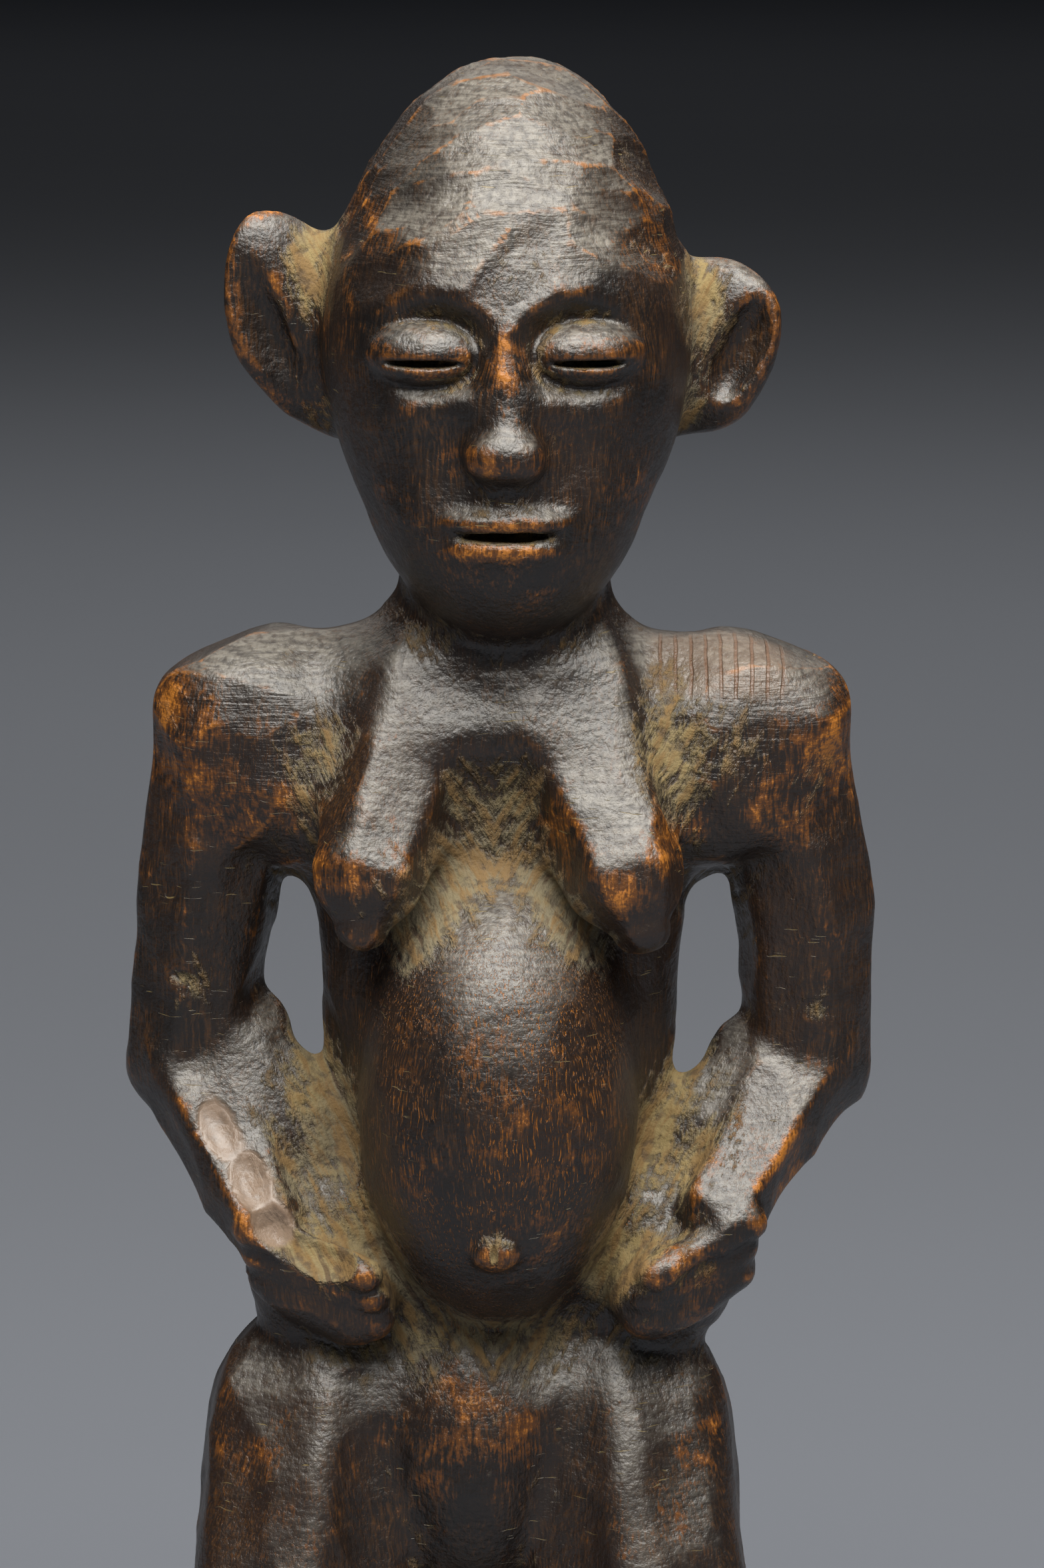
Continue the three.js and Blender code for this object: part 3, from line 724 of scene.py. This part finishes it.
def crease(mesh, p):
    """The mesh's own curvature at each vertex, per mm: above 0 on ridges, below 0 in grooves."""
    pairs = np.empty(len(mesh.edges) * 2, np.int32)
    mesh.edges.foreach_get("vertices", pairs)
    a, b = pairs.reshape(-1, 2).T
    flat = np.empty(len(mesh.vertices) * 3, np.float32)
    mesh.vertex_normals.foreach_get("vector", flat)
    n = flat.reshape(-1, 3)
    d = p[b] - p[a]
    squared = np.maximum(np.einsum("ij,ij->i", d, d), SHORT_EDGE**2)
    total, count = np.zeros(len(p)), np.zeros(len(p))
    for here, way in ((a, d), (b, -d)):
        np.add.at(total, here, -2 * np.einsum("ij,ij->i", n[here], way) / squared)
        np.add.at(count, here, 1)
    return total / np.maximum(count, 1), n


BULGE_REACH = 2.0  # the distance in mm over which a worn edge is felt
WORN_BULGE = (0.13, 0.42)  # the bulges, per mm, at which wear sets in and is full
BREAST_WEAR = 0.6  # the share of that wear on the breasts
FRONT = (0.45, -0.1)  # the normal's Y at which the rubbing of the front begins and is full
DUST_AND_SHEEN_SIDE = unit(vec(0.06, -0.60, 0.80))  # up and forward, towards the overhead lamp: where grey dust lies and where a sheen is painted
DUST_AND_SHEEN_FACING, DUST_AND_SHEEN_FACING_CROWN = (0.70, 0.97), (0.58, 0.88)  # how squarely a place looks that way
FRESH_DEPTH = (0.02, 0.25)  # the depths of a scoop at which fresh wood begins and is whole
DIRT = {"in_hollows": 0.55, "more_in_spots": 0.7, "on_spots": 0.22}
SHADE_TURN, SHADE_SCALE = 12.9898, 43758.5453  # scatter a cut's number into a value from 0 to 1


def shade_of(which):
    """A value from 0 to 1 for each cut, as if at random."""
    return np.modf(np.abs(np.sin(which * SHADE_TURN) * SHADE_SCALE))[0]


def add_attributes(piece, rows):
    """What the material reads at each vertex."""
    mesh = piece.data
    flat = np.empty(len(mesh.vertices) * 3, np.float32)
    mesh.vertices.foreach_get("co", flat)
    p = flat.reshape(-1, 3) / MM
    ridge, normal = crease(mesh, p)
    cavity = closed_in(p, normal, *CAVITY_FOR_DIRT)
    # dirt spots, held back in the painted shade spots so that these stay dark
    dust_less_in_shade = np.clip(spots(p, DUSTY), 0, 1) * (1 - spots(p, SHADED))
    _, which = depth_of(p, rows)
    region = regions(p)
    on_crown, on_shoulder, on_breast, on_belly = (
        region == KINDS.index(kind) for kind in ("crown", "shoulder", "breast", "belly")
    )
    # how squarely each place faces the overhead lamp, for the dust and the painted sheen
    lit = normal @ DUST_AND_SHEEN_SIDE
    values = {
        "dirt": cavity * (DIRT["in_hollows"] + DIRT["more_in_spots"] * dust_less_in_shade) + DIRT["on_spots"] * dust_less_in_shade,
        "wear": ramp(*WORN_BULGE, bulge(p, BULGE_REACH)) * np.where(on_breast, BREAST_WEAR, 1),
        "ridge": ridge,
        "rubbed": spots(p, RUBBED) * ramp(*FRONT, normal[:, 1]),
        "film": np.where(on_crown, ramp(*DUST_AND_SHEEN_FACING_CROWN, lit), ramp(*DUST_AND_SHEEN_FACING, lit)),
        "comb": combed(p),
        "tone": shade_of(which),
        "fresh": ramp(*FRESH_DEPTH, scoop_depth(p, normal)),
        "belly": on_belly,
        "crown": on_crown | on_shoulder,
    }
    for name, data in values.items():
        layer = mesh.attributes.new(name, "FLOAT", "POINT")
        layer.data.foreach_set("value", data.astype(np.float32))
    mesh.polygons.foreach_set("use_smooth", np.ones(len(mesh.polygons), bool))


FOREARM_X, FOREARM_DOWN = 0.874, 0.485  # the line across a forearm, seen from the front
BODY_X = 2 * MM  # the middle between the two forearms


class Nodes:
    """Short calls that add a node to a material and wire it up."""

    def __init__(self, tree):
        self.tree = tree

    def plug(self, socket, value):
        if isinstance(value, bpy.types.NodeSocket):
            self.tree.links.new(value, socket)
        else:
            socket.default_value = value

    def add(self, kind, inputs=(), **settings):
        node = self.tree.nodes.new(kind)
        for key, value in settings.items():
            setattr(node, key, value)
        for key, value in dict(inputs).items():
            self.plug(node.inputs[key], value)
        return node

    def value(self, name):
        return self.add("ShaderNodeAttribute", attribute_name=name, attribute_type="GEOMETRY").outputs["Fac"]

    def math(self, operation, a, b=0.0):
        return self.add("ShaderNodeMath", {0: a, 1: b}, operation=operation).outputs[0]

    def times(self, *values):
        result = values[0]
        for value in values[1:]:
            result = self.math("MULTIPLY", result, value)
        return result

    def plus(self, *values):
        result = values[0]
        for value in values[1:]:
            result = self.math("ADD", result, value)
        return result

    def about(self, value, amount):
        """A noise that lies around one half, turned into one around 0, of that size."""
        return self.math("MULTIPLY", self.math("SUBTRACT", value, 0.5), amount)

    def ramp(self, value, low, high, to_low=0.0, to_high=1.0):
        inputs = {"Value": value, "From Min": low, "From Max": high, "To Min": to_low, "To Max": to_high}
        return self.add("ShaderNodeMapRange", inputs, interpolation_type="SMOOTHSTEP").outputs[0]

    def noise(self, place, scale, detail=3.0, roughness=0.55, output="Fac"):
        inputs = {"Vector": place, "Scale": scale, "Detail": detail, "Roughness": roughness}
        return self.add("ShaderNodeTexNoise", inputs).outputs[output]

    def scaled(self, place, x, y, z, turn=(0, 0, 0)):
        inputs = {"Vector": place, "Rotation": turn, "Scale": (x, y, z)}
        return self.add("ShaderNodeMapping", inputs).outputs[0]

    def along_arms(self, place, fine, coarse):
        """The place, squeezed across the forearms and stretched along them, alike on both sides."""
        split = self.add("ShaderNodeSeparateXYZ", {0: place})
        out = self.math("ABSOLUTE", self.math("SUBTRACT", split.outputs[0], BODY_X))
        up = split.outputs[2]
        x = self.plus(self.times(out, FOREARM_X * fine), self.times(up, -FOREARM_DOWN * fine))
        z = self.plus(self.times(out, FOREARM_DOWN * coarse), self.times(up, FOREARM_X * coarse))
        y = self.times(split.outputs[1], coarse)
        return self.add("ShaderNodeCombineXYZ", {0: x, 1: y, 2: z}).outputs[0]

    def bent(self, place, scale, by):
        """The place, pushed about by a soft noise by that many metres."""
        push = self.noise(place, scale, 2.0, 0.5, "Color")
        inputs = {0: push, 1: (by, by, by), 2: place}
        return self.add("ShaderNodeVectorMath", inputs, operation="MULTIPLY_ADD").outputs[0]

    def mix(self, share, a, b):
        node = self.add("ShaderNodeMix", data_type="RGBA", clamp_factor=True)
        for socket, value in ((node.inputs[0], share), (node.inputs[6], a), (node.inputs[7], b)):
            self.plug(socket, value)
        return node.outputs[2]


BLACK = (0.0062, 0.0050, 0.0044, 1)
BROWN = (0.0190, 0.0105, 0.0070, 1)
UMBER = (0.0600, 0.0270, 0.0085, 1)
RUST = (0.110, 0.038, 0.0070, 1)
ORANGE = (0.420, 0.150, 0.016, 1)
AMBER = (0.260, 0.090, 0.010, 1)
# the grey of the dust and of the painted sheen on what faces the overhead lamp
DUST_AND_SHEEN_GREY = (0.172, 0.156, 0.130, 1)
KHAKI = (0.245, 0.180, 0.070, 1)
OCHRE = (0.180, 0.100, 0.027, 1)
ASH = (0.180, 0.150, 0.088, 1)
BARE = (0.210, 0.145, 0.100, 1)


COMB_PITCH = 1.9 * MM  # from one thin cut to the next
REFRACTION = 1.6  # of oiled, polished wood


def vertex_values(n):
    """What add_attributes keeps at each vertex."""
    names = ("dirt", "wear", "ridge", "rubbed", "film", "comb", "tone", "fresh", "belly", "crown")
    return SimpleNamespace(**{name: n.value(name) for name in names})


def textures(n, place):
    """Noises that lie around one half: some alike all ways, from broad to fine, others drawn out."""
    bent = n.bent(place, 60, 0.004)
    wavy = n.bent(place, 250, 0.0012)
    return SimpleNamespace(
        broad=n.noise(place, 38, 4, 0.6),
        medium=n.noise(place, 170, 5, 0.62),
        small=n.noise(place, 620, 4, 0.6),
        pebble=n.noise(place, 1150, 2, 0.5),
        fine=n.noise(place, 2600, 3, 0.6),
        grain=n.noise(n.scaled(wavy, 2900, 2900, 190), 1.0, 3, 0.55),
        pores=n.noise(n.scaled(wavy, 5200, 5200, 250), 1.0, 2, 0.5),
        scrape=n.noise(n.scaled(bent, 150, 150, 2300), 1.0, 3, 0.6),
        leaning=n.noise(n.along_arms(wavy, 700, 110), 1.0, 4, 0.6),
        nick=n.noise(n.scaled(wavy, 260, 260, 3000, (0.5, 0.4, 0.3)), 1.0, 1, 0.5),
        porous=n.noise(place, 55, 3, 0.5),
        nicked=n.noise(place, 70, 2, 0.5),
    )


def masks(n, place, v, t):
    """Where each kind of surface shows and how strongly, from the vertices' values and the textures."""
    m = SimpleNamespace()

    # a thin grey film of dust, together with a painted sheen: paler where a place faces up and forward,
    # towards the overhead lamp
    uneven = n.times(n.ramp(t.pebble, 0.30, 0.62, 0.30, 1.0), n.ramp(t.scrape, 0.32, 0.60, 0.40, 1.0))
    m.film = n.times(v.film, uneven, n.ramp(v.tone, 0.0, 1.0, 0.55, 1.0))

    # the row of thin upright cuts on one shoulder
    comb_x = n.add("ShaderNodeSeparateXYZ", {0: n.bent(place, 120, 0.0012)}).outputs[0]
    wave = n.math("SINE", n.times(comb_x, 2 * math.pi / COMB_PITCH))
    m.teeth = n.times(v.comb, n.ramp(wave, 0.60, 0.95))

    # patina rubbed through, broken up by the grain: rust first, bare orange where it is rubbed most
    mottle = n.plus(n.about(t.medium, 2.2), n.about(t.grain, 1.6), n.about(t.small, 1.4))
    edges = n.plus(n.times(v.wear, 0.46), n.times(n.ramp(v.ridge, 0.12, 0.40), 0.22))
    rubbing = n.plus(edges, n.times(v.rubbed, 1.05), mottle, n.times(v.film, -0.12))
    m.rust = n.ramp(rubbing, 0.38, 0.80, 0.0, 0.85)
    m.bare = n.ramp(n.plus(rubbing, n.about(t.fine, 1.0)), 0.80, 1.20)

    # thin lines along the ridges between facets
    share = n.plus(n.times(v.crown, 0.30), 0.10)
    m.line = n.times(n.ramp(v.ridge, 0.10, 0.30), n.ramp(t.medium, 0.40, 0.60), share)

    # pore streaks that stand upright, most of all on the belly
    share = n.plus(n.times(v.belly, 0.8), 0.15)
    m.streak = n.times(n.ramp(t.pores, 0.57, 0.66), n.ramp(t.porous, 0.38, 0.62), share)

    # dirt in the hollows, thin on what stands up from the surface
    uneven = n.plus(n.about(t.leaning, 1.6), n.about(t.small, 1.0))
    uneven = n.plus(uneven, n.about(t.grain, 0.5), n.about(t.broad, 1.0))
    grime = n.plus(v.dirt, n.times(uneven, n.ramp(v.dirt, 0.0, 0.45, 0.15, 1.0)))
    m.grime = n.ramp(grime, 0.34, 0.92)

    # pale nicks
    m.nicks = n.times(n.ramp(t.nick, 0.70, 0.74), n.ramp(t.nicked, 0.52, 0.62))
    return m


def soil_colour(n, t):
    soil = n.mix(n.ramp(t.broad, 0.42, 0.60), KHAKI, ASH)
    soil = n.mix(n.ramp(t.leaning, 0.46, 0.62, 0.0, 0.85), soil, OCHRE)
    soil = n.mix(n.ramp(t.leaning, 0.34, 0.46, 0.75, 0.0), soil, UMBER)
    return n.mix(n.ramp(t.small, 0.36, 0.52, 0.5, 0.0), soil, BROWN)


def wood_colour(n, v, t, m):
    """The black patina, with everything that lies over it or shows through it, in that order."""
    colour = n.mix(n.ramp(t.broad, 0.38, 0.66), BLACK, BROWN)
    layers = [
        (n.times(n.ramp(t.grain, 0.42, 0.66), n.ramp(t.medium, 0.35, 0.62), 0.8), UMBER),
        (n.times(v.tone, 0.35), BROWN),
        # grey dust and painted sheen where the surface faces the overhead lamp
        (m.film, DUST_AND_SHEEN_GREY),
        (n.times(v.comb, 0.35), BARE),
        (n.times(m.teeth, 0.55), RUST),
        (m.rust, RUST),
        (n.times(m.bare, 0.8), ORANGE),
        (m.line, ORANGE),
        (m.streak, AMBER),
        (n.times(m.grime, 0.92), soil_colour(n, t)),
        (n.times(v.fresh, n.ramp(t.small, 0.25, 0.55, 0.55, 0.95)), BARE),
        (n.times(m.nicks, 0.6), KHAKI),
    ]
    for share, over in layers:
        colour = n.mix(share, colour, over)
    return colour


def wood_roughness(n, v, t, m):
    rough = n.plus(0.36, n.about(t.small, 0.25), n.about(t.fine, 0.20), n.times(v.tone, 0.06))
    return n.plus(rough, n.times(m.grime, 0.45), n.times(m.bare, 0.08), n.times(v.film, 0.04))


def wood_height(n, v, t, m):
    """The relief that is too fine for the mesh, in mm."""
    height = n.times(t.scrape, n.plus(n.times(v.crown, 0.10), 0.03))
    depths = [
        (t.grain, 0.05), (t.small, 0.17), (t.pebble, 0.15), (t.fine, 0.06),
        (m.streak, -0.08), (m.nicks, -0.12),
    ]
    for texture, depth in depths:
        height = n.plus(height, n.times(texture, depth))
    height = n.plus(height, n.times(m.grime, t.leaning, 0.40), n.times(m.grime, t.small, 0.20))
    smooth_where_fresh = n.plus(1.0, n.times(v.fresh, -0.75))
    return n.plus(n.times(height, smooth_where_fresh), n.times(m.teeth, -0.12))


def wood_material():
    material = bpy.data.materials.new("patinated_wood")
    material.use_nodes = True
    tree = material.node_tree
    tree.nodes.clear()
    n = Nodes(tree)
    place = n.add("ShaderNodeTexCoord").outputs["Object"]
    v = vertex_values(n)
    t = textures(n, place)
    m = masks(n, place, v, t)
    colour, rough = wood_colour(n, v, t, m), wood_roughness(n, v, t, m)
    height = wood_height(n, v, t, m)
    bump = n.add("ShaderNodeBump", {"Height": height, "Strength": 1.0, "Distance": MM}).outputs[0]
    shader = n.add("ShaderNodeBsdfPrincipled", {"Base Color": colour, "Roughness": rough, "Normal": bump})
    shader.inputs["IOR"].default_value = REFRACTION
    output = n.add("ShaderNodeOutputMaterial")
    tree.links.new(shader.outputs[0], output.inputs["Surface"])
    return material


# The studio, in metres and watts
FLOOR_REACH, FLOOR_COLOUR, FLOOR_ROUGHNESS = 12.0, (0.176, 0.190, 0.220, 1), 0.9
FLOOR_MOTTLE = 0.94  # how much darker its darker parts are
AIR_COLOUR, AIR_STRENGTH = (0.45, 0.47, 0.52, 1), 0.04
LAMP_TINT = (1, 0.975, 0.93)
# Each lamp's place, the point it looks at, its two sides and its power
LAMPS = {
    "overhead": ((0.05, -0.36, 0.82), (0, 0, 0.19), (0.85, 0.60), 16.5),
    "background": ((0.0, 1.20, 1.05), (0, 1.20, 0), (2.2, 0.7), 8),
    "distance": ((0.0, 4.60, 2.0), (0, 4.60, 0), (3.0, 1.5), 2.6),
}
# The camera: what it looks at, from how far and how high, and the height that it takes in there
SEEN_POINT, SEEN_FROM, SEEN_ELEVATION, SEEN_HEIGHT = (0.0050, 0, 0.1668), 0.750, 10, 0.2002
SENSOR = 36
CLIP = (0.01, 100)


def floor_material():
    material = bpy.data.materials.new("floor_pale")
    material.use_nodes = True
    tree = material.node_tree
    n = Nodes(tree)
    shader = tree.nodes["Principled BSDF"]
    place = n.add("ShaderNodeTexCoord").outputs["Object"]
    darker = tuple(c * FLOOR_MOTTLE for c in FLOOR_COLOUR[:3]) + (1,)
    tint = n.mix(n.noise(place, 3, 3, 0.5), FLOOR_COLOUR, darker)
    tree.links.new(tint, shader.inputs["Base Color"])
    shader.inputs["Roughness"].default_value = FLOOR_ROUGHNESS
    return material


def softbox(name, at, look, size, power):
    light = bpy.data.lights.new(name, "AREA")
    light.shape = "RECTANGLE"
    light.size, light.size_y = size
    light.energy = power
    light.color = LAMP_TINT
    lamp = bpy.data.objects.new(name, light)
    lamp.location = at
    lamp.rotation_euler = (Vector(look) - Vector(at)).to_track_quat("-Z", "Y").to_euler()
    bpy.context.scene.collection.objects.link(lamp)


def studio():
    scene = bpy.context.scene
    corners = [(x * FLOOR_REACH, y * FLOOR_REACH, 0) for x, y in ((-1, -1), (1, -1), (1, 1), (-1, 1))]
    floor_mesh = bpy.data.meshes.new("floor")
    floor_mesh.from_pydata(corners, [], [(0, 1, 2, 3)])
    floor = bpy.data.objects.new("floor", floor_mesh)
    scene.collection.objects.link(floor)
    floor_mesh.materials.append(floor_material())
    world = bpy.data.worlds.new("studio")
    world.use_nodes = True
    world.node_tree.nodes["Background"].inputs["Color"].default_value = AIR_COLOUR
    world.node_tree.nodes["Background"].inputs["Strength"].default_value = AIR_STRENGTH
    scene.world = world
    scene.view_settings.view_transform = "Standard"
    for name, (at, look, size, power) in LAMPS.items():
        softbox(name, at, look, size, power)


def camera():
    elevation = math.radians(SEEN_ELEVATION)
    away = Vector((0, -math.cos(elevation), math.sin(elevation))) * SEEN_FROM
    data = bpy.data.cameras.new("camera")
    data.sensor_width = SENSOR
    data.sensor_fit = "AUTO"
    data.lens = SENSOR * SEEN_FROM / SEEN_HEIGHT
    data.clip_start, data.clip_end = CLIP
    rig = bpy.data.objects.new("camera", data)
    rig.location = Vector(SEEN_POINT) + away
    rig.rotation_euler = (math.pi / 2 - elevation, 0, 0)
    bpy.context.scene.collection.objects.link(rig)
    bpy.context.scene.camera = rig


piece, rows = build_mesh()
add_attributes(piece, rows)
piece.data.materials.append(wood_material())
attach(piece, "root")
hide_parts("figure")
studio()
camera()
